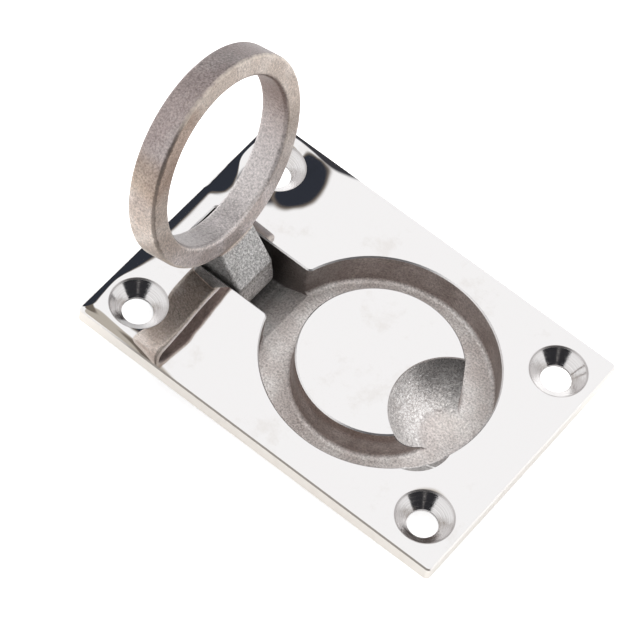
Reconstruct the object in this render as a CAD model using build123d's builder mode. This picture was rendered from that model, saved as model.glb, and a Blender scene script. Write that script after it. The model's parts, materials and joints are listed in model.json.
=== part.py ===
from build123d import *
import os
from math import cos, radians, sin, tan

# Flush lift ring for a hatch or floor panel: a cast plate with a ring-shaped recess, and a cast ring
# that lies flush in the recess or is raised on its hinge pin to lift the panel.
# All sizes are in millimetres. The origin is the centre of the four screw holes, on the underside
# of the plate's flange. +Z is up through the polished face, +X runs from the hinge to the finger hollow.

# Ring: a round band with a rounded rectangular section
recess_radius = 21.0
ring_band = 4.1
ring_width = 5.8
ring_edge_rounding = 0.8
raise_angle = 104.0

# Room that the recess leaves round the stowed ring
ring_outer_clearance = 1.15
ring_inner_clearance = 0.95
ring_far_clearance = 0.8
ring_flush_gap = 0.2
ring_floor_gap = 1.1

# Stem and foot that join the ring to the pin
stem_length = 10.3
stem_face_inset = 0.35
stem_root_inset = 0.35
stem_foot_length = 3.4
stem_foot_rounding = 0.8
stem_edge_rounding = 0.6
barrel_radius = 4.0
barrel_floor_clearance = 0.5
heel_stop_gap = 0.05

# Hinge pin
hinge_depth = 5.1
pin_radius = 1.5
pin_running_clearance = 0.05
pin_end_recess = 0.15
pin_end_bevel = 0.3

# Neck pocket, which holds the stem and the pin
neck_width = 11.8
stem_side_clearance = 1.2
ring_side_shift = 0.7
neck_back_room = 10.95
neck_ramp_angle = 25.0
neck_ramp_setback = 1.5
neck_corner_radius = 1.2
neck_mouth_radius = 1.0
neck_floor_fillet = 0.8
floor_fillet = 1.0

# Plate, with its margins round the recess and the neck
recess_end_margin = 10.1
recess_side_margin = 6.1
neck_end_margin = 4.15
plate_thickness = 3.0
plate_corner_radius = 0.9
plate_edge_bevel = 0.25
rim_bevel = 0.25

# Screw holes, set in from the plate's edges
screw_inset_x = 7.0
screw_inset_y = 7.9
screw_hole_radius = 2.75
countersink_radius = 5.2
countersink_angle = 90.0

# Finger hollow scooped out of the island, and the filed dip in the recess rim beside it
hollow_rim_radius = 11.35
hollow_past_island = 0.9
hollow_floor_dip = 0.8
rim_dip_radius = 7.1
rim_dip_depth = 1.6
rim_dip_inset = 5.7
rim_dip_angle = -31.3

# Underside of the casting
cup_wall = 2.2
cheek_wall = 2.4
neck_end_wall = 2.2
neck_floor_thickness = 1.6
island_crown = 3.0
island_wall = 2.4
hollow_wall = 2.2
underside_draft = 1.5
underside_edge_radius = 1.0
body_corner_radius = 2.0

# Worked out from the sizes above
ring_outer_radius = recess_radius - ring_outer_clearance
ring_inner_radius = ring_outer_radius - ring_band
island_radius = ring_inner_radius - ring_inner_clearance
ring_reach = stem_length + ring_outer_radius
ring_top = hinge_depth - ring_flush_gap
ring_bottom = ring_top - ring_width
recess_depth = ring_flush_gap + ring_width + ring_floor_gap
neck_depth = hinge_depth + barrel_radius + barrel_floor_clearance
body_depth = neck_depth + neck_floor_thickness
hinge_to_recess = ring_reach - (ring_outer_clearance - ring_far_clearance)
plate_length = neck_end_margin + neck_back_room + hinge_to_recess + recess_radius + recess_end_margin
plate_width = 2 * (recess_radius + recess_side_margin)
top_z = plate_thickness
body_bottom_z = top_z - body_depth
recess_x = plate_length / 2 - recess_end_margin - recess_radius
hinge_x = recess_x - hinge_to_recess
hinge_z = top_z - hinge_depth
neck_back_x = hinge_x - neck_back_room
screw_spacing_x = plate_length - 2 * screw_inset_x
screw_spacing_y = plate_width - 2 * screw_inset_y
stem_width = neck_width - 2 * stem_side_clearance
cheek_outer_width = neck_width + 2 * cheek_wall
channel_middle = (recess_radius + island_radius) / 2
hollow_depth = recess_depth + hollow_floor_dip
hollow_radius = (hollow_rim_radius**2 + hollow_depth**2) / (2 * hollow_depth)
hollow_x = recess_x + island_radius + hollow_past_island
hollow_z = top_z - hollow_depth + hollow_radius
dip_ball = (rim_dip_radius**2 + rim_dip_depth**2) / (2 * rim_dip_depth)
dip_x = recess_x + (recess_radius - rim_dip_inset) * cos(radians(rim_dip_angle))
dip_y = (recess_radius - rim_dip_inset) * sin(radians(rim_dip_angle))

# Space of the ring recess and of the neck's mouth: a keyhole outline with the island left standing
with BuildPart() as recess_tool:
    with BuildSketch(Plane.XY.offset(top_z - recess_depth)) as keyhole:
        with Locations((recess_x, 0)):
            Circle(recess_radius)
        with Locations(((neck_back_x + recess_x) / 2, 0)):
            Rectangle(recess_x - neck_back_x, neck_width)
        fillet(vertices().group_by(Axis.X)[0], neck_corner_radius)
        fillet(vertices().group_by(Axis.X)[-1], neck_mouth_radius)
        with Locations((recess_x, 0)):
            Circle(island_radius, mode=Mode.SUBTRACT)
    extrude(amount=recess_depth)
    fillet(recess_tool.faces().sort_by(Axis.Z)[0].edges(), floor_fillet)

# Polished bevel all round that outline
with BuildPart() as rim_tool:
    add(keyhole.sketch.moved(Location((0, 0, recess_depth - rim_bevel))))
    extrude(amount=rim_bevel, taper=-45)

# Space of the neck pocket, with a ramp from the recess floor down to the hinge
ramp_start_x = recess_x - recess_radius + neck_ramp_setback
ramp_run = (neck_depth - recess_depth) / tan(radians(neck_ramp_angle))
with BuildPart() as neck_tool:
    with BuildSketch(Plane.XZ):
        with BuildLine():
            Polyline(
                (neck_back_x, top_z),
                (neck_back_x, top_z - neck_depth),
                (ramp_start_x - ramp_run, top_z - neck_depth),
                (ramp_start_x, top_z - recess_depth),
                (ramp_start_x, top_z),
                close=True,
            )
        make_face()
    extrude(amount=neck_width / 2, both=True)
    back_wall = neck_tool.faces().sort_by(Axis.X)[0]
    fillet(back_wall.edges().filter_by(Axis.Z), neck_corner_radius)
    fillet(neck_tool.faces().filter_by(Axis.Z).sort_by(Axis.Z)[0].edges(), neck_floor_fillet)

# The finger hollow is part of a ball. It eats into the island and the channel, not the recess wall.
with BuildPart(Plane.XY.offset(hollow_z)) as hollow_tool:
    with Locations((hollow_x, 0, 0)):
        Sphere(hollow_radius)
    with Locations((recess_x, 0, 0)):
        Cylinder(recess_radius - floor_fillet, 4 * hollow_radius, mode=Mode.INTERSECT)

# The dip is part of a larger ball. It only touches the rim of the recess and leaves the island alone.
with BuildPart(Plane.XY.offset(top_z)) as dip_tool:
    with Locations((dip_x, dip_y, dip_ball - rim_dip_depth)):
        Sphere(dip_ball)
    with Locations((recess_x, 0, 0)):
        Cylinder(channel_middle, 4 * dip_ball, mode=Mode.SUBTRACT)

# Cored space under the island, which leaves a crown, a wall and a skin round the finger hollow.
with BuildPart() as core_tool:
    with BuildSketch(Plane.XY.offset(body_bottom_z)):
        with Locations((recess_x, 0)):
            Circle(island_radius - island_wall)
    extrude(amount=body_depth - island_crown, taper=underside_draft)
    fillet(core_tool.faces().sort_by(Axis.Z)[-1].edges(), floor_fillet)
    with Locations((hollow_x, 0, hollow_z)):
        Sphere(hollow_radius + hollow_wall, mode=Mode.SUBTRACT)

# Casting: flange, keyhole-shaped body under it, recess, neck pocket, hollow and holes
with BuildPart() as mount_plate:
    with BuildSketch():
        RectangleRounded(plate_length, plate_width, plate_corner_radius)
    extrude(amount=plate_thickness)
    flange_top = mount_plate.faces().sort_by(Axis.Z)[-1]
    chamfer(flange_top.edges(), plate_edge_bevel)

    # body under the flange: a round cup with the neck's box running into it
    neck_box_end = neck_back_x - neck_end_wall
    with BuildSketch(Plane.XY):
        with Locations((recess_x, 0)):
            Circle(recess_radius + cup_wall)
        with Locations(((neck_box_end + recess_x) / 2, 0)):
            Rectangle(recess_x - neck_box_end, cheek_outer_width)
        fillet(vertices().group_by(Axis.X)[0], body_corner_radius)
        fillet(vertices().group_by(Axis.X)[-1], body_corner_radius)
    extrude(amount=-(body_depth - plate_thickness), taper=underside_draft)
    underside = mount_plate.faces().sort_by(Axis.Z)[0]
    fillet(underside.edges(), underside_edge_radius)

    # hollows of the casting, from above and from below
    for hollow in (recess_tool, neck_tool, rim_tool, hollow_tool, dip_tool, core_tool):
        add(hollow.part, mode=Mode.SUBTRACT)

    # countersunk screw holes
    with Locations((0, 0, top_z)):
        with GridLocations(screw_spacing_x, screw_spacing_y, 2, 2):
            CounterSinkHole(screw_hole_radius, countersink_radius, plate_thickness, countersink_angle)

    # cross hole for the hinge pin through both cheeks
    with Locations(Plane.XZ.shift_origin((hinge_x, 0, hinge_z))):
        Cylinder(pin_radius, 2 * cheek_outer_width, mode=Mode.SUBTRACT)

mount_plate.part.label = "mount_plate"

# Ring casting, drawn as it lies stowed and set up at its raised angle.
# On the plane of its side view, x runs from the pin to the ring and y is the stowed ring's up.
lift = radians(raise_angle)
hinge_point = (hinge_x, -ring_side_shift, hinge_z)
reach_dir = (cos(lift), 0, sin(lift))
face_dir = (-sin(lift), 0, cos(lift))
ring_plane = Plane(hinge_point, x_dir=reach_dir, z_dir=face_dir)
side_plane = Plane(hinge_point, x_dir=reach_dir, z_dir=(0, -1, 0))
band_middle = stem_length + ring_band / 2

# The heel is a flat that lands on the pocket floor and holds the ring leaning back past upright.
heel_reach = barrel_radius + barrel_floor_clearance - heel_stop_gap
heel_lean = radians(raise_angle - 90)
heel_foot = (-heel_reach * cos(heel_lean), heel_reach * sin(heel_lean))
stem_top = ring_top - stem_face_inset
heel_top_x = heel_foot[0] + (stem_top - heel_foot[1]) * tan(heel_lean)
stem_root = ring_bottom + stem_root_inset

with BuildPart() as pull_ring:
    # stem with the foot round the pin, its heel, and an underside that slopes up to the ring
    with BuildSketch(side_plane):
        with BuildLine():
            Polyline(
                (0, -barrel_radius),
                (stem_foot_length, -barrel_radius),
                (stem_length, stem_root),
                (band_middle, stem_root),
                (band_middle, stem_top),
                (heel_top_x, stem_top),
                heel_foot,
                (-barrel_radius, 0),
            )
            CenterArc((0, 0), barrel_radius, 180, 90)
        make_face()
    extrude(amount=stem_width / 2, both=True)
    foot_corner = side_plane.from_local_coords(Vector(stem_foot_length, -barrel_radius))
    foot_edge = pull_ring.edges().filter_by(Axis.Y).sort_by_distance(foot_corner)[0]
    fillet(foot_edge, stem_foot_rounding)
    fillet(pull_ring.faces().filter_by(Axis.Y).edges(), stem_edge_rounding)
    with Locations(side_plane):
        Cylinder(pin_radius + pin_running_clearance, 2 * stem_width, mode=Mode.SUBTRACT)

    # band of the ring, turned from its rounded section
    with BuildSketch(side_plane):
        with Locations((band_middle, (ring_top + ring_bottom) / 2)):
            RectangleRounded(ring_band, ring_width, ring_edge_rounding)
    ring_axis = Axis(ring_plane.from_local_coords(Vector(ring_reach, 0, 0)), ring_plane.z_dir)
    revolve(axis=ring_axis)

pull_ring.part.label = "pull_ring"

# Hinge pin, held in the cheeks and running in the foot of the ring
cheek_draft_run = hinge_depth * sin(radians(underside_draft))
pin_length = cheek_outer_width - 2 * (pin_end_recess + cheek_draft_run)
with BuildPart() as hinge_pin:
    with Locations(Plane.XZ.shift_origin((hinge_x, 0, hinge_z))):
        Cylinder(pin_radius, pin_length)
    chamfer(hinge_pin.edges().filter_by(GeomType.CIRCLE), pin_end_bevel)

hinge_pin.part.label = "hinge_pin"

os.makedirs("parts", exist_ok=True)
for piece in (mount_plate, pull_ring, hinge_pin):
    export_step(piece.part, f"parts/{piece.part.label}.step")
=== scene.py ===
import json
from collections import namedtuple
from math import cos, radians, sin

import bpy
from mathutils import Matrix, Vector


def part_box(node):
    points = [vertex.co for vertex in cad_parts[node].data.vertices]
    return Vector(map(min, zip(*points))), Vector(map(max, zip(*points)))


# Flush lift ring on a white table, seen as in the photograph. Blender's lengths are in metres, and MM
# turns millimetres into metres. The materials measure in millimetres, in the part's own frame: the
# hinge end of the plate is toward -X, and its front edge, nearest the viewer, is toward -Y.
MM = 0.001

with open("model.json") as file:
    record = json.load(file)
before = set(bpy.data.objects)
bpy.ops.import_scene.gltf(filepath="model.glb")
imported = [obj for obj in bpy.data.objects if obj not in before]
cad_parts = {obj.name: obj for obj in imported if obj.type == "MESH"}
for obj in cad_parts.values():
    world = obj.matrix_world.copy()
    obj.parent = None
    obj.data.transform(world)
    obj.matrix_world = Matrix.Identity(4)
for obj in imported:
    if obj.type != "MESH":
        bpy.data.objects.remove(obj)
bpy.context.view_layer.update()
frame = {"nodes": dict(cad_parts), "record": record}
plate = frame["nodes"]["mount_plate"]
ring = frame["nodes"]["pull_ring"]
pin = frame["nodes"]["hinge_pin"]

# Sizes read from the frame: the plate's box and its screw pattern
plate_low, plate_high = (Vector(corner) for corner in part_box("mount_plate"))
plate_half_x, plate_half_y, plate_top = (value / MM for value in plate_high)
mounts = {mount["name"]: mount for mount in frame["record"]["mounts"]}
screw_x = mounts["screw_holes"]["dims"]["spacing_x_mm"] / 2
screw_y = mounts["screw_holes"]["dims"]["spacing_y_mm"] / 2

# Places on the plate, in millimetres
recess_x = 6.9
recess_radius = 21.0
countersink_radius = 5.2
hollow_centre = (22.6, 0.0, 7.2)
hollow_radius = 12.1
# middle of a painted highlight in the finger hollow
highlight_spot = (17.5, 0.0, -3.8)

# The raised ring: its middle, the way its front face looks, and its radii, in millimetres
ring_centre = (-32.13, -0.7, 26.67)
ring_front = (0.9703, 0.0, 0.2419)
ring_inner_radius = 15.75
ring_outer_radius = 19.85
ring_half_width = 2.9

# Zones of the plate's finishes, as pairs: where a zone starts and where it is full. Heights count from
# the top face, reaches from the recess's middle, insets from the plate's outline. Facings are parts of
# the surface's direction, from -1 to 1.
face_height = (-0.32, -0.22)
sink_height = (-0.02, -0.10)
hollow_height_zone = (-7.3, -6.6)
island_top_height = (-3.4, -1.4)
island_reach = (17.0, 16.0)
side_inset = (1.1, 1.0)
outline_inset = (0.45, 0.35)
dip_inner_reach = (recess_radius + 0.05, recess_radius + 0.35)
dip_outer_reach = (recess_radius + 2.4, recess_radius + 1.9)
dip_x = (8.0, 10.0)
dip_facing = (0.975, 0.955)
bevel_facing = (0.97, 0.85)
steep_facing = (0.8, 0.6)
floor_facing = (0.25, 0.8)

# How the hinge end is buffed along its length: each stretch runs from one y to another, with its blend
# at both ends, and adds its share to the base share
hinge_end_base = 0.85
hinge_end_stretches = (
    (8.5, 15.0, 2.5, 1.35),
    (-5.0, 7.5, 1.5, -0.50),
    (-14.0, -7.0, 2.5, 0.20),
    (-24.0, -16.5, 2.0, -0.35),
)

# Tones of the plate. A pair is blended by blotches or by noise.
mirror_tones = ((0.90, 0.885, 0.885, 1), (0.84, 0.815, 0.80, 1))
cast_floor_tones = ((0.70, 0.645, 0.625, 1), (0.89, 0.86, 0.845, 1))
# the walls' tones are darker than the floors' as painted shade
cast_wall_tones = ((0.34, 0.285, 0.265, 1), (0.47, 0.41, 0.39, 1))
hollow_tones = ((0.72, 0.69, 0.68, 1), (0.80, 0.78, 0.77, 1))
side_tones = ((0.80, 0.745, 0.685, 1), (0.90, 0.86, 0.81, 1))
turned_tone = (0.42, 0.39, 0.38, 1)
# painted dark reflection on the bevel of the front edge
bevel_reflection_tone = (0.17, 0.145, 0.12, 1)
island_top_shade = (0.74, 0.66, 0.62)

# Tones of the ring. The band's pairs and the inner pair run from its upper to its lower part, as
# painted shade above and painted light below.
band_dark_tones = ((0.40, 0.335, 0.325, 1), (0.58, 0.49, 0.43, 1))
band_light_tones = ((0.45, 0.395, 0.385, 1), (0.86, 0.78, 0.72, 1))
inner_tones = ((0.31, 0.235, 0.21, 1), (0.68, 0.635, 0.63, 1))
front_tones = ((0.48, 0.405, 0.355, 1), (0.62, 0.55, 0.50, 1))
stem_tones = ((0.50, 0.485, 0.475, 1), (0.60, 0.59, 0.585, 1))
# painted dark reflection and painted highlight on the ring's front edge
edge_reflection_tone = (0.12, 0.095, 0.08, 1)
edge_highlight_tone = (0.74, 0.66, 0.58, 1)
# Multipliers for the band's belt and the front face: painted light on its lower part, painted shade at
# its top and far side
belt_shade = (0.92, 0.84, 0.74)
front_low_shade = (1.22, 1.27, 1.38)
front_brown_shade = (0.76, 0.67, 0.62)
front_far_shade = (0.66, 0.64, 0.62)

pin_tones = ((0.50, 0.49, 0.48, 1), (0.66, 0.65, 0.64, 1))

# Roughness of each finish. A pair follows the grain or the streaks.
mirror_roughness = 0.03
cone_roughness = 0.11
side_roughness = 0.28
bevel_roughness = 0.35
hollow_roughness = 0.34
cast_roughness = 0.46
ring_roughness = (0.34, 0.46)
pin_roughness = (0.20, 0.32)

# How metallic each finish looks
cast_metallic = 0.6
ring_metallic = 0.8
outline_bevel_metallic = 0.25
bare_metallic = 1.0

# Marks left by tools, and the ranges of a noise that hold most of its values and its middle ones
turning_depth = 0.02 * MM
linish_depth = 0.02 * MM
grinding_depth = 0.01 * MM
noise_spread = (0.3, 0.7)
noise_core = (0.35, 0.65)

# Camera: a long lens, turned a little about its own axis
camera_aim = Vector((-5.87, -0.70, 3.0)) * MM
camera_distance = 664.3 * MM
camera_azimuth = -63.44
camera_elevation = 57.07
camera_roll = 13.59
lens_mm = 217.94
sensor_mm = 36.0

# Table and room. The room is white, and dimmer for the matt light that it gives than for what is seen.
white = (1, 1, 1, 1)
table_half_size = 1.5
table_color = (0.9, 0.9, 0.9, 1)
table_glow = 0.7
matt_light = 0.6
seen_light = 1.0

# What the metal mirrors besides the white room: round patches on its walls, given in degrees. Later
# ones lie over earlier ones. The front one turns into the horizon's colour toward the floor.
Patch = namedtuple("Patch", "azimuth elevation radius blur color")
front_dark = Patch(-42.0, 10.0, 49.0, 1.5, (0.030, 0.030, 0.034, 1))
horizon_color = (0.42, 0.41, 0.40, 1)
horizon_elevations = (20.0, 10.0)
room_patches = {
    "front_slit": Patch(-46.0, 32.0, 3.0, 1.5, (0.40, 0.38, 0.37, 1)),
    "far_dark": Patch(111.0, 40.0, 10.5, 1.5, (0.045, 0.045, 0.052, 1)),
    "back_fringe": Patch(145.9, 41.4, 19.8, 0.5, (0.20, 0.17, 0.14, 1)),
    "overhead": Patch(0.0, 90.0, 25.8, 0.8, (0.50, 0.46, 0.40, 1)),
    "back_brown": Patch(156.0, 62.0, 7.5, 1.0, (0.17, 0.145, 0.12, 1)),
    "back_dark": Patch(145.9, 41.4, 19.2, 0.5, (0.030, 0.034, 0.045, 1)),
}

Casting = namedtuple("Casting", "height creases patches grain")


class Shader:
    """A node tree being wired, with a short call for each kind of node that the materials use."""

    def __init__(self, tree):
        self.tree = tree
        self.tree.nodes.clear()

    def node(self, kind, inputs=(), **settings):
        """A new node, with a value or a link for each input that is named or numbered."""
        made = self.tree.nodes.new(kind)
        for name, value in settings.items():
            setattr(made, name, value)
        for key, value in dict(inputs).items():
            self.feed(made.inputs[key], value)
        return made

    def feed(self, socket, value):
        if isinstance(value, bpy.types.NodeSocket):
            self.tree.links.new(value, socket)
        else:
            socket.default_value = value

    def math(self, operation, first, second=0.0):
        return self.node("ShaderNodeMath", {0: first, 1: second}, operation=operation).outputs[0]

    def product(self, first, *others):
        for other in others:
            first = self.math("MULTIPLY", first, other)
        return first

    def total(self, first, *others):
        for other in others:
            first = self.math("ADD", first, other)
        return first

    def weighted(self, *pairs):
        """The sum of values that each come with a share."""
        return self.total(*(self.product(value, share) for value, share in pairs))

    def most(self, first, *others):
        for other in others:
            first = self.math("MAXIMUM", first, other)
        return first

    def away(self, value, middle):
        """How far a number is from a middle one, on either side."""
        return self.math("ABSOLUTE", self.math("SUBTRACT", value, middle))

    def outside(self, mask):
        """The mask of all that this one leaves out."""
        return self.math("SUBTRACT", 1.0, mask)

    def vector(self, operation, first, second=(0, 0, 0)):
        """Vector maths, where SCALE takes a number second and measuring gives a number."""
        second_input = "Scale" if operation == "SCALE" else 1
        made = self.node("ShaderNodeVectorMath", {0: first, second_input: second}, operation=operation)
        return made.outputs["Value" if operation in ("LENGTH", "DISTANCE", "DOT_PRODUCT") else "Vector"]

    def split(self, vector):
        """The X, Y and Z of a vector."""
        return self.node("ShaderNodeSeparateXYZ", {"Vector": vector}).outputs

    def remap(self, value, low, high, to_low, to_high, interpolation="LINEAR"):
        """Takes low to high onto to_low to to_high, and holds what lies beyond at the ends."""
        made = self.node("ShaderNodeMapRange", {
            "Value": value, "From Min": low, "From Max": high, "To Min": to_low, "To Max": to_high,
        }, interpolation_type=interpolation)
        return made.outputs["Result"]

    def step(self, value, start, full):
        """0 at start and 1 at full, smooth in between. The mask grows downward if full is lower."""
        if start < full:
            return self.remap(value, start, full, 0.0, 1.0, "SMOOTHSTEP")
        return self.remap(value, full, start, 1.0, 0.0, "SMOOTHSTEP")

    def stretch(self, value, low, high, blend):
        """1 from low to high and 0 beyond, with a blend round both ends."""
        return self.math("SUBTRACT", self.step(value, low - blend, low + blend),
                         self.step(value, high - blend, high + blend))

    def blend(self, kind, factor, first, second):
        first_input, output = {"FLOAT": (2, 0), "VECTOR": (4, 1), "RGBA": (6, 2)}[kind]
        inputs = {0: factor, first_input: first, first_input + 1: second}
        return self.node("ShaderNodeMix", inputs, data_type=kind).outputs[output]

    def mix(self, factor, first, second):
        """Blends two numbers."""
        return self.blend("FLOAT", factor, first, second)

    def tint(self, factor, first, second):
        """Blends two colours."""
        return self.blend("RGBA", factor, first, second)

    def turn(self, factor, first, second):
        """Blends two normals."""
        return self.blend("VECTOR", factor, first, second)

    def level(self, color, share):
        """Darkens or lightens a colour."""
        return self.vector("SCALE", color, share)

    def level_where(self, color, mask, share):
        """Darkens or lightens a colour where the mask is 1."""
        return self.level(color, self.mix(mask, 1.0, share))

    def shade(self, color, mask, factors):
        """Multiplies a colour by three factors where the mask is 1."""
        return self.vector("MULTIPLY", color, self.tint(mask, white, (*factors, 1)))

    def speckle(self, color, grain, dark, light):
        """Darkens the pits of the grain and lightens its tops."""
        return self.level(color, self.remap(grain, *noise_spread, dark, light))

    def noise(self, place, scale, detail=3.0, roughness=0.5, distortion=0.0):
        return self.node("ShaderNodeTexNoise", {
            "Vector": place, "Scale": scale, "Detail": detail, "Roughness": roughness,
            "Distortion": distortion,
        }).outputs["Fac"]

    def bump(self, height, distance):
        """The normal of a surface whose height is in units of the distance."""
        return self.node("ShaderNodeBump", {
            "Strength": 1.0, "Distance": distance, "Height": height,
        }).outputs["Normal"]

    def metal(self, color, roughness, normal, metallic):
        """The surface itself, joined to the material's output."""
        made = self.node("ShaderNodeBsdfPrincipled", {
            "Base Color": color, "Metallic": metallic, "Roughness": roughness, "Normal": normal,
        })
        self.node("ShaderNodeOutputMaterial", {"Surface": made.outputs["BSDF"]})


class Point:
    """What a material reads of a surface point: its place in millimetres, and which way it faces."""

    def __init__(self, shader):
        read = shader.node("ShaderNodeTexCoord").outputs
        self.place = shader.vector("SCALE", read["Object"], 1 / MM)
        self.x, self.y, self.z = shader.split(self.place)
        self.facing_x, self.facing_y, self.facing_z = shader.split(read["Normal"])


def new_material(name):
    material = bpy.data.materials.new(name)
    material.use_nodes = True
    return material, Shader(material.node_tree)


def plan_distance(shader, x, y, centre_x, centre_y):
    """How far a point is from an upright axis."""
    across = shader.math("SUBTRACT", x, centre_x)
    along = shader.math("SUBTRACT", y, centre_y)
    squared = shader.total(shader.product(across, across), shader.product(along, along))
    return shader.math("SQRT", squared)


def cast_surface(shader, place, crease_mm, patch_blur):
    """Blasted and tumbled casting: its height in millimetres, its creases, blotches and grain."""
    lumps = shader.noise(place, scale=1 / crease_mm, detail=2.0, roughness=0.5, distortion=0.4)
    creases = shader.step(shader.away(lumps, 0.5), 0.0, 0.09)
    grain = shader.noise(place, scale=2.7, detail=3.0, roughness=0.65)
    blotch = shader.noise(place, scale=0.13, detail=4.0, roughness=0.55)
    height = shader.weighted((creases, 0.018), (grain, 0.055), (lumps, 0.07))
    return Casting(height, creases, shader.step(blotch, 0.5 - patch_blur, 0.5 + patch_blur), grain)


class PlateZones:
    """Where each finish of the plate lies, as masks, with the distances that the finishes use."""

    def __init__(self, shader, point):
        self.height = shader.math("SUBTRACT", point.z, plate_top)
        self.from_recess = plan_distance(shader, point.x, point.y, recess_x, 0.0)

        # the four corners of the plate are alike, so they are folded onto one
        self.folded_x = shader.math("ABSOLUTE", point.x)
        self.folded_y = shader.math("ABSOLUTE", point.y)
        self.from_hole = plan_distance(shader, self.folded_x, self.folded_y, screw_x, screw_y)

        # filed dip in the rim of the recess, beside the hollow, which is not polished
        self.dip = shader.product(
            shader.step(self.from_recess, *dip_inner_reach),
            shader.step(self.from_recess, *dip_outer_reach),
            shader.step(point.facing_z, *dip_facing),
            shader.step(point.x, *dip_x),
        )

        # polished face with its bevels, which are a little duller, and the sides of the flange
        self.face = shader.product(shader.step(self.height, *face_height), shader.outside(self.dip))
        self.bevel = shader.product(self.face, shader.step(point.facing_z, *bevel_facing))
        self.outline_bevel = shader.product(self.bevel, self.by_outline(shader, outline_inset))
        steep = shader.step(shader.math("ABSOLUTE", point.facing_z), *steep_facing)
        self.side = shader.product(self.by_outline(shader, side_inset), steep)

        # countersinks: the whole circle, the cone below the face, and the cone's upper lip
        self.countersink = shader.step(self.from_hole, countersink_radius + 0.10, countersink_radius)
        self.cone = shader.product(self.countersink, shader.step(self.height, *sink_height))
        lip = shader.step(self.from_hole, countersink_radius - 0.55, countersink_radius - 0.15)
        self.lip = shader.product(self.countersink, lip)

        # finger hollow: the surface of its ball, which blends into the cast floor at the bottom
        from_ball = shader.vector("DISTANCE", point.place, hollow_centre)
        on_ball = shader.step(shader.away(from_ball, hollow_radius), 0.2, 0.1)
        self.hollow = shader.product(on_ball, shader.step(self.height, *hollow_height_zone))

        self.bright = shader.most(self.face, self.countersink, self.side)

    def by_outline(self, shader, inset):
        start, full = inset
        return shader.most(shader.step(self.folded_x, plate_half_x - start, plate_half_x - full),
                           shader.step(self.folded_y, plate_half_y - start, plate_half_y - full))


def hand_polish(shader, point, zones):
    """Height of the mirror face in millimetres, which is buffed lower along the plate's edges and round
    the holes, and more so at the hinge end."""

    def buffed(distance, depth, reach, share=1.0):
        """A hollow that is deepest at distance 0 and fades out over its reach."""
        fade = shader.math("EXPONENT", shader.math("DIVIDE", distance, -reach))
        return shader.product(fade, -depth, share)

    to_hinge_end = shader.math("ADD", point.x, plate_half_x)
    to_far_end = shader.math("SUBTRACT", plate_half_x, point.x)
    to_front = shader.math("ADD", point.y, plate_half_y)
    to_back = shader.math("SUBTRACT", plate_half_y, point.y)
    to_hole = shader.math("SUBTRACT", zones.from_hole, countersink_radius)

    stretches = ((shader.stretch(point.y, low, high, blend), share)
                 for low, high, blend, share in hinge_end_stretches)
    end_share = shader.total(hinge_end_base, shader.weighted(*stretches))
    front_share = shader.mix(shader.step(point.x, -8.0, -28.0), 0.22, 1.0)
    corner_share = shader.step(point.x, -20.0, -31.0)
    back_share = shader.mix(shader.step(point.x, -17.0, -27.0), 0.25, 1.6)

    # the holes at the far end are hollowed least, and the back one of the hinge end most
    hinge_hole_share = shader.mix(shader.step(point.y, -6.0, 6.0), 0.34, 0.9)
    hole_share = shader.mix(shader.step(point.x, 5.0, -5.0), 0.3, hinge_hole_share)

    return shader.total(
        buffed(to_hinge_end, depth=0.27, reach=2.0, share=end_share),
        buffed(to_hinge_end, depth=0.18, reach=0.4),
        buffed(to_far_end, depth=0.05, reach=1.0),
        buffed(to_front, depth=0.34, reach=2.2, share=front_share),
        buffed(to_front, depth=0.36, reach=1.1, share=corner_share),
        buffed(to_back, depth=0.20, reach=1.5, share=back_share),
        buffed(to_hole, depth=0.50, reach=3.0, share=hole_share),
    )


def mirror_finish(shader, point, zones):
    """Mirror face: its colour, with a few stains, and its normal, with faint polishing waves."""
    wave = shader.noise(point.place, scale=0.09, detail=2.0, roughness=0.45)
    height = shader.total(hand_polish(shader, point, zones), shader.product(wave, 0.05))
    stain = shader.step(shader.noise(point.place, scale=0.14, detail=5.0, roughness=0.62), 0.56, 0.74)
    return shader.tint(stain, *mirror_tones), shader.bump(height, MM)


def recess_color(shader, point, zones, cast):
    """Blasted recess with painted shade: darker on its walls than on its floors, darker at the far end
    and in the neck, and darkest at the end of the neck.
    """
    # painted shade: the walls take darker tones than the floors
    walls = shader.tint(cast.patches, *cast_wall_tones)
    floors = shader.tint(cast.patches, *cast_floor_tones)
    flat = shader.step(shader.math("ABSOLUTE", point.facing_z), *floor_facing)
    color = shader.speckle(shader.tint(flat, walls, floors), cast.grain, dark=0.58, light=1.34)
    # the island's wall is a little lighter, and darker and warmer near its top
    island = shader.step(zones.from_recess, *island_reach)
    island_top = shader.product(island, shader.step(zones.height, *island_top_height))
    color = shader.level_where(color, island, 1.05)
    color = shader.shade(color, island_top, island_top_shade)
    # painted shade toward the far end, in the neck and most at the neck's end; the unpolished dip is
    # darker too
    far_end = shader.step(point.x, 17.0, 24.0)
    neck = shader.step(point.x, -8.0, -14.5)
    neck_end = shader.step(point.x, -15.0, -19.5)
    for mask, share in ((zones.dip, 0.48), (far_end, 0.88), (neck, 0.6), (neck_end, 0.3)):
        color = shader.level_where(color, mask, share)
    return color


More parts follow.
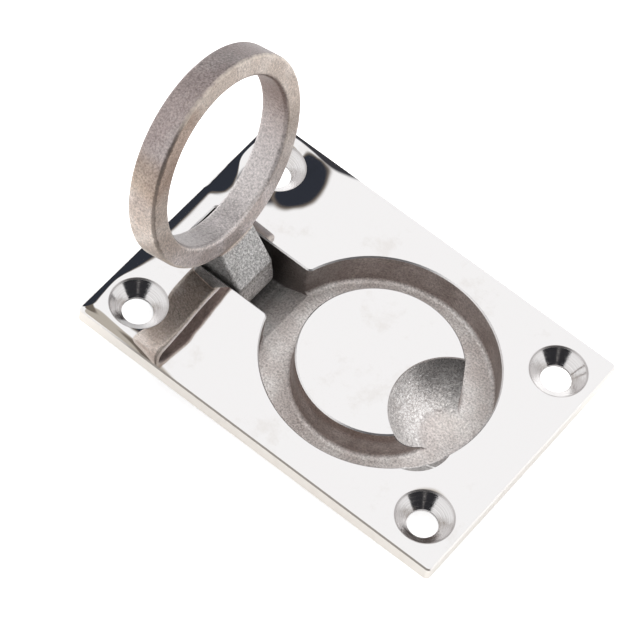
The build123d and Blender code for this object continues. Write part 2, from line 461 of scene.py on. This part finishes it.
def hollow_finish(shader, point, cast):
    """Finger hollow, ground smoother and brighter than the rest: its colour and its height."""
    dents = shader.noise(point.place, scale=0.9, detail=3.0, roughness=0.6, distortion=0.8)
    height = shader.weighted((dents, 0.45), (cast.grain, 0.05), (cast.creases, 0.045))
    color = shader.tint(cast.patches, *hollow_tones)
    color = shader.speckle(color, cast.grain, dark=0.76, light=1.20)
    color = shader.level(color, shader.remap(cast.creases, 0.0, 1.0, 0.66, 1.05))

    # painted shade and light: darkest where it faces the front edge, lighter as it turns away from it,
    # and darker at its lip and where it faces the back
    color = shader.level(color, shader.remap(point.facing_y, -0.85, -0.15, 0.16, 1.22))
    lip = shader.product(shader.step(point.facing_x, 0.4, 0.7), shader.step(point.facing_y, 0.0, -0.4))
    color = shader.level_where(color, lip, 0.6)
    color = shader.level_where(color, shader.step(point.facing_y, 0.2, 0.6), 0.85)

    # painted highlight: a round brighter spot
    highlight_mask = shader.step(shader.vector("DISTANCE", point.place, highlight_spot), 8.5, 1.5)
    color = shader.level(color, shader.mix(highlight_mask, 0.95, 1.35))
    return color, height


def plate_material():
    """One casting with three finishes: a mirror face, a blasted recess and turned countersinks."""
    material, shader = new_material("polished_casting")
    point = Point(shader)
    zones = PlateZones(shader, point)

    cast = cast_surface(shader, point.place, crease_mm=0.7, patch_blur=0.15)
    hollow_color, hollow_height = hollow_finish(shader, point, cast)
    cast_color = shader.tint(zones.hollow, recess_color(shader, point, zones, cast), hollow_color)
    cast_normal = shader.bump(shader.mix(zones.hollow, cast.height, hollow_height), MM)
    mirror_color, mirror_normal = mirror_finish(shader, point, zones)
    color = shader.tint(zones.bright, cast_color, mirror_color)

    # flange side: a soft linished band
    linish = shader.noise(point.place, scale=0.5)
    side_normal = shader.bump(linish, linish_depth)
    color = shader.tint(zones.side, color, shader.tint(linish, *side_tones))

    # countersinks, turned with a blunt tool that leaves rings and a darker lip
    outward = shader.node("ShaderNodeCombineXYZ", {"X": zones.from_hole}).outputs[0]
    turned = shader.noise(outward, scale=9.0, detail=3.0, roughness=0.6)
    cone_normal = shader.bump(turned, turning_depth)
    rings = shader.product(zones.cone, shader.remap(turned, *noise_core, 0.0, 0.6))
    color = shader.tint(shader.most(shader.product(zones.lip, 0.6), rings), color, turned_tone)

    # painted dark reflection: a line on the bevel of the front edge, which fades toward the hinge end
    front_facing = shader.step(point.facing_y, -0.3, -0.5)
    line = shader.product(zones.outline_bevel, front_facing, shader.step(point.x, -34.0, -24.0))
    color = shader.tint(shader.product(line, 0.85), color, bevel_reflection_tone)

    roughness = shader.mix(zones.hollow, cast_roughness, hollow_roughness)
    roughness = shader.mix(zones.bright, roughness, mirror_roughness)
    roughness = shader.mix(zones.side, roughness, side_roughness)
    roughness = shader.mix(zones.cone, roughness, cone_roughness)
    roughness = shader.mix(zones.bevel, roughness, bevel_roughness)
    normal = shader.turn(zones.bright, cast_normal, mirror_normal)
    normal = shader.turn(zones.cone, normal, cone_normal)
    normal = shader.turn(zones.side, normal, side_normal)
    polished_metallic = shader.mix(zones.outline_bevel, bare_metallic, outline_bevel_metallic)
    metallic = shader.mix(zones.bright, cast_metallic, polished_metallic)
    shader.metal(color, roughness, normal, metallic)
    return material


class RingZones:
    """Where a point lies on the ring: along its axis, how far out, and masks of the ring's faces."""

    def __init__(self, shader, point):
        from_centre = shader.vector("SUBTRACT", point.place, ring_centre)
        self.along = shader.vector("DOT_PRODUCT", from_centre, ring_front)
        on_axis = shader.vector("SCALE", ring_front, self.along)
        self.radial = shader.vector("LENGTH", shader.vector("SUBTRACT", from_centre, on_axis))
        self.on_ring = shader.step(self.radial, ring_outer_radius + 0.6, ring_outer_radius + 0.2)
        self.stem = shader.outside(self.on_ring)
        off_inner = shader.step(self.radial, ring_inner_radius + 0.1, ring_inner_radius + 0.6)
        self.band = shader.product(self.on_ring, off_inner)
        at_front = shader.step(self.along, ring_half_width - 0.35, ring_half_width - 0.1)
        self.front = shader.product(self.band, at_front)


def band_tone(shader, point, patches):
    """Round outside of the ring, with painted shade and light: darker purple-grey at the top, turning
    paler beige lower down, with a darker crown.
    """
    round_band = shader.total(point.z, shader.product(point.y, 0.9))
    near = shader.step(round_band, 24.0, 8.0)
    dark_tone = shader.tint(near, *band_dark_tones)
    light_tone = shader.tint(near, *band_light_tones)
    tone = shader.tint(patches, dark_tone, light_tone)
    tone = shader.level_where(tone, shader.step(round_band, 44.5, 50.0), 0.62)
    belt = shader.product(shader.step(round_band, 27.0, 22.0), shader.step(round_band, 13.0, 18.0))
    return shader.shade(tone, belt, belt_shade)


def front_tone(shader, point, patches):
    """Front face of the ring: beige, paler low down as painted light, and browner and darker at the top
    and on the far side as painted shade.
    """
    tone = shader.tint(patches, *front_tones)
    brown = shader.product(shader.step(point.y, -4.5, -9.0), shader.step(point.z, 31.0, 36.0))
    far = shader.product(shader.step(point.y, 6.0, 11.0), shader.step(point.z, 28.0, 23.0))
    tone = shader.shade(tone, shader.step(point.z, 26.0, 11.0), front_low_shade)
    tone = shader.shade(tone, brown, front_brown_shade)
    return shader.shade(tone, far, front_far_shade)


def inner_tone(shader, point):
    """Inside of the ring, with painted shade: dark brown at the top, lighter grey below, and darker on
    the front edge's side.
    """
    tone = shader.tint(shader.step(point.z, 31.0, 13.0), *inner_tones)
    return shader.level_where(tone, shader.step(point.y, -1.0, -6.0), 0.56)


def edge_reflection_and_highlight(shader, point, zones, color):
    """Fettled edge between the band and the front, with a painted dark reflection up the near side and
    a painted highlight elsewhere.
    """
    edge_noise = shader.noise(point.place, scale=0.7, detail=3.0, roughness=0.6)
    thin = shader.remap(edge_noise, *noise_spread, 0.10, 0.42)
    from_edge = shader.math("SUBTRACT", shader.away(zones.radial, ring_outer_radius - 0.25), thin)
    at_front = shader.step(zones.along, ring_half_width - 0.75, ring_half_width - 0.4)
    edge = shader.product(shader.step(from_edge, 0.12, -0.08), at_front)
    dark_reflection_mask = shader.product(shader.step(point.y, -9.0, -13.0), shader.step(point.z, 17.0, 24.0))
    color = shader.tint(shader.product(edge, dark_reflection_mask, 0.7), color, edge_reflection_tone)
    highlight_mask = shader.product(edge, shader.outside(dark_reflection_mask), shader.remap(edge_noise, *noise_core, 0.15, 0.65))
    return shader.tint(highlight_mask, color, edge_highlight_tone)


def ring_material():
    """Tumbled casting: brown-grey outside with darker blotches, greyer inside and on the stem."""
    material, shader = new_material("tumbled_casting")
    point = Point(shader)
    zones = RingZones(shader, point)
    cast = cast_surface(shader, point.place, crease_mm=0.6, patch_blur=0.12)

    stem_tone = shader.tint(cast.patches, *stem_tones)
    color = shader.tint(zones.on_ring, stem_tone, inner_tone(shader, point))
    color = shader.tint(zones.band, color, band_tone(shader, point, cast.patches))
    color = shader.tint(zones.front, color, front_tone(shader, point, cast.patches))
    color = shader.speckle(color, cast.grain, dark=0.58, light=1.36)

    # stem: leathery creases, painted shade on its sides, and painted light on its foot
    leather = shader.remap(cast.creases, 0.0, 1.0, 0.62, 1.1)
    sideways = shader.step(shader.math("ABSOLUTE", point.facing_y), 0.6, 0.85)
    color = shader.level_where(color, zones.stem, leather)
    color = shader.level_where(color, shader.product(zones.stem, sideways), 0.5)
    color = shader.level_where(color, shader.product(zones.stem, shader.step(point.z, 2.4, 1.2)), 1.45)

    # painted shade on the underside of the ring
    below = shader.product(zones.on_ring, shader.step(point.facing_z, -0.45, -0.75))
    color = shader.level_where(color, below, 0.45)
    # painted dark reflection and painted highlight along the front edge
    color = edge_reflection_and_highlight(shader, point, zones, color)
    roughness = shader.remap(cast.grain, *noise_spread, *ring_roughness)
    shader.metal(color, roughness, shader.bump(cast.height, MM), ring_metallic)
    return material


def pin_material():
    """Ground rod, with streaks along its length."""
    material, shader = new_material("ground_rod")
    stretched = shader.vector("MULTIPLY", Point(shader).place, (8.0, 0.4, 8.0))
    streak = shader.noise(stretched, scale=1.0)
    roughness = shader.remap(streak, *noise_spread, *pin_roughness)
    normal = shader.bump(streak, grinding_depth)
    shader.metal(shader.tint(streak, *pin_tones), roughness, normal, bare_metallic)
    return material


def dress(piece, material):
    piece.data.materials.clear()
    piece.data.materials.append(material)


def direction(azimuth_deg, elevation_deg):
    """The unit vector toward an azimuth and an elevation in degrees."""
    azimuth, elevation = radians(azimuth_deg), radians(elevation_deg)
    return Vector((cos(azimuth) * cos(elevation), sin(azimuth) * cos(elevation), sin(elevation)))


def looking_back_from(outward):
    """The turn that makes a camera or lamp look back along a vector."""
    return outward.to_track_quat("Z", "Y").to_matrix().to_4x4()


def add_camera():
    data = bpy.data.cameras.new("camera")
    data.lens = lens_mm
    data.sensor_width = sensor_mm
    data.clip_start = 0.01
    data.clip_end = 10.0
    camera = bpy.data.objects.new("camera", data)
    bpy.context.scene.collection.objects.link(camera)
    outward = direction(camera_azimuth, camera_elevation)
    place = Matrix.Translation(camera_aim + outward * camera_distance)
    roll = Matrix.Rotation(radians(camera_roll), 4, "Z")
    camera.matrix_world = place @ looking_back_from(outward) @ roll
    bpy.context.scene.camera = camera


def add_area(name, place, size, power):
    """A square lamp aimed at the origin, which the metal doesn't mirror."""
    data = bpy.data.lights.new(name, "AREA")
    data.shape = "SQUARE"
    data.size = size
    data.energy = power
    light = bpy.data.objects.new(name, data)
    light.matrix_world = Matrix.Translation(place) @ looking_back_from(Vector(place))
    light.visible_glossy = False
    bpy.context.scene.collection.objects.link(light)


def add_table():
    """White table that the camera sees a little brighter than it is lit."""
    mesh = bpy.data.meshes.new("table")
    corners = [(x * table_half_size, y * table_half_size, plate_low.z)
               for x, y in ((-1, -1), (1, -1), (1, 1), (-1, 1))]
    mesh.from_pydata(corners, [], [(0, 1, 2, 3)])
    table = bpy.data.objects.new("table", mesh)
    bpy.context.scene.collection.objects.link(table)
    material, shader = new_material("white_table")
    diffuse = shader.node("ShaderNodeBsdfDiffuse", {"Color": table_color})
    glow = shader.node("ShaderNodeEmission", {"Color": white, "Strength": table_glow})
    lit = shader.node("ShaderNodeAddShader", {0: diffuse.outputs[0], 1: glow.outputs[0]})
    camera_ray = shader.node("ShaderNodeLightPath").outputs["Is Camera Ray"]
    both = shader.node("ShaderNodeMixShader", {0: camera_ray, 1: diffuse.outputs[0], 2: lit.outputs[0]})
    shader.node("ShaderNodeOutputMaterial", {"Surface": both.outputs[0]})
    table.data.materials.append(material)


def add_world():
    """White room with the few darker things that only the metal sees. Matt things get plain light."""
    world = bpy.data.worlds.new("studio")
    world.use_nodes = True
    bpy.context.scene.world = world
    shader = Shader(world.node_tree)
    ray = shader.node("ShaderNodeTexCoord").outputs["Generated"]

    def inside(patch):
        toward = shader.vector("DOT_PRODUCT", ray, direction(patch.azimuth, patch.elevation))
        return shader.step(toward, cos(radians(patch.radius + patch.blur)),
                           cos(radians(patch.radius - patch.blur)))

    low = shader.step(shader.split(ray)["Z"], *(sin(radians(angle)) for angle in horizon_elevations))
    front_color = shader.tint(low, front_dark.color, horizon_color)
    mirrored = shader.tint(inside(front_dark), white, front_color)
    for patch in room_patches.values():
        mirrored = shader.tint(inside(patch), mirrored, patch.color)

    path = shader.node("ShaderNodeLightPath").outputs
    color = shader.tint(path["Is Glossy Ray"], white, mirrored)
    seen = shader.most(path["Is Camera Ray"], path["Is Glossy Ray"], path["Is Transmission Ray"])
    strength = shader.mix(seen, matt_light, seen_light)
    light = shader.node("ShaderNodeBackground", {"Color": color, "Strength": strength})
    shader.node("ShaderNodeOutputWorld", {"Surface": light.outputs[0]})


dress(plate, plate_material())
dress(ring, ring_material())
dress(pin, pin_material())
add_camera()
add_table()
add_world()
add_area("key", place=(-0.15, 0.35, 0.60), size=0.7, power=4.2)
add_area("fill", place=(0.10, -0.15, 0.70), size=0.5, power=2.0)

bpy.context.scene.view_settings.view_transform = "Standard"
